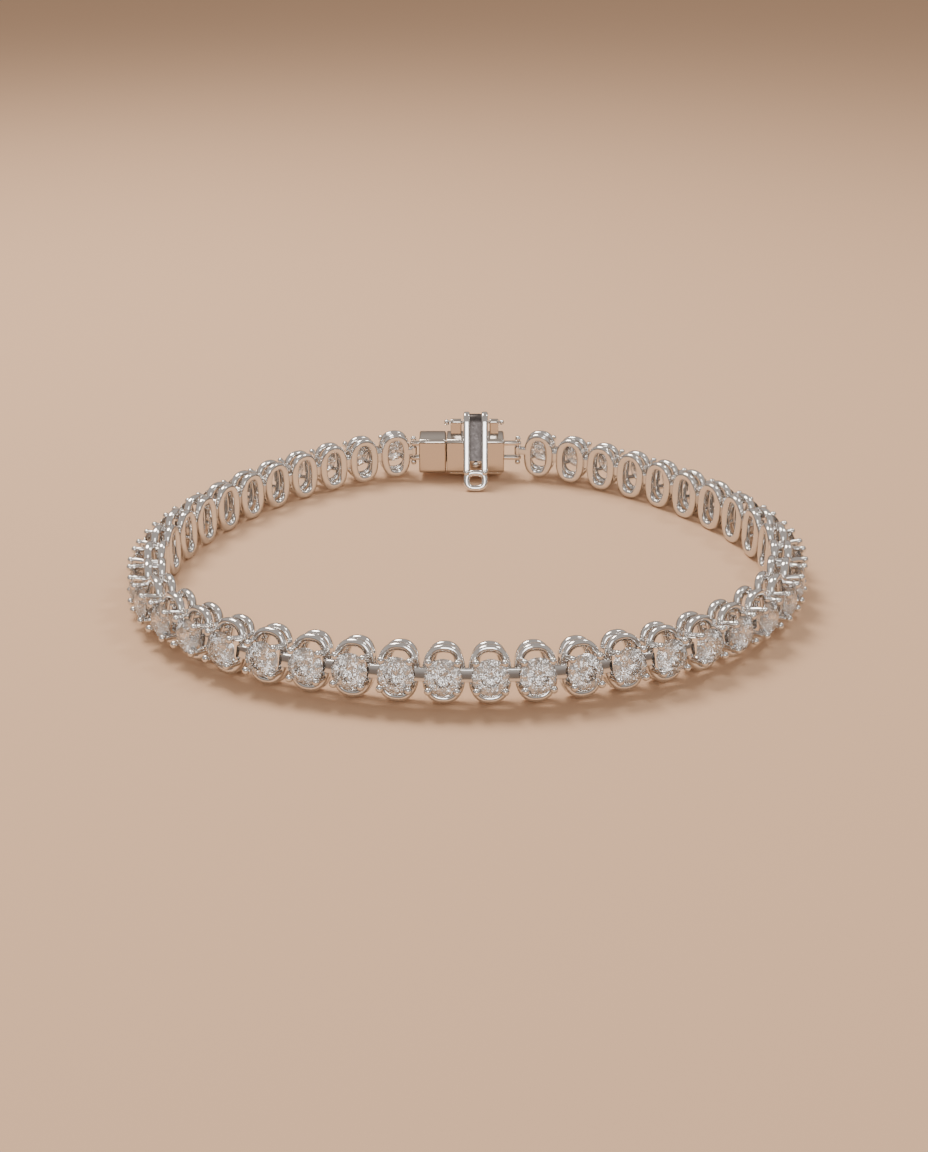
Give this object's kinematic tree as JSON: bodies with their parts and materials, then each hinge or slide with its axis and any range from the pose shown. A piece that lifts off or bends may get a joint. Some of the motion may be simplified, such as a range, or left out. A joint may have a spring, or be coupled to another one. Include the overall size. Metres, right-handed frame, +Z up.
{
  "type": "tennis bracelet",
  "caption": "Fastened tennis bracelet: prong-set round stones in double-ring wire links, standing as an oval loop, closed by a box clasp with a hinged safety latch.",
  "frame": {"origin": "middle of the bracelet's box in plan, on the surface that it stands on", "axes": "+Z up, from the surface to the rings' upper edge; +Y from the front of the loop to the clasp at its back; +X to the right as seen from the front, along the loop's long way"},
  "size_m": [0.0682, 0.0572, 0.0082],
  "materials": {
    "white_gold": "high polish, slightly warm white gold",
    "diamond": "clear, faceted, high polish"
  },
  "bodies": {
    "bracelet": {"link_chain_right": "white_gold", "link_chain_left": "white_gold", "clasp_box": "white_gold", "clasp_tongue": "white_gold", "hinge_pin": "white_gold", "end_pin_right": "white_gold", "end_pin_left": "white_gold", "stone_01": "diamond", "stone_02": "diamond", "stone_03": "diamond", "stone_04": "diamond", "stone_05": "diamond", "stone_06": "diamond", "stone_07": "diamond", "stone_08": "diamond", "stone_09": "diamond", "stone_10": "diamond", "stone_11": "diamond", "stone_12": "diamond", "stone_13": "diamond", "stone_14": "diamond", "stone_15": "diamond", "stone_16": "diamond", "stone_17": "diamond", "stone_18": "diamond", "stone_19": "diamond", "stone_20": "diamond", "stone_21": "diamond", "stone_22": "diamond", "stone_23": "diamond", "stone_24": "diamond", "stone_25": "diamond", "stone_26": "diamond", "stone_27": "diamond", "stone_28": "diamond", "stone_29": "diamond", "stone_30": "diamond", "stone_31": "diamond", "stone_32": "diamond", "stone_33": "diamond", "stone_34": "diamond", "stone_35": "diamond", "stone_36": "diamond", "stone_37": "diamond", "stone_38": "diamond", "stone_39": "diamond", "stone_40": "diamond", "stone_41": "diamond", "stone_42": "diamond"},
    "latch": {"safety_latch": "white_gold"}
  },
  "joints": [
    {"name": "latch_swing", "type": "hinge", "parent": "bracelet", "child": "latch", "pos_m": [0.00086, 0.0267, 0.0067], "axis": [-1, 0, 0], "range_deg": [0, 130]}
  ]
}
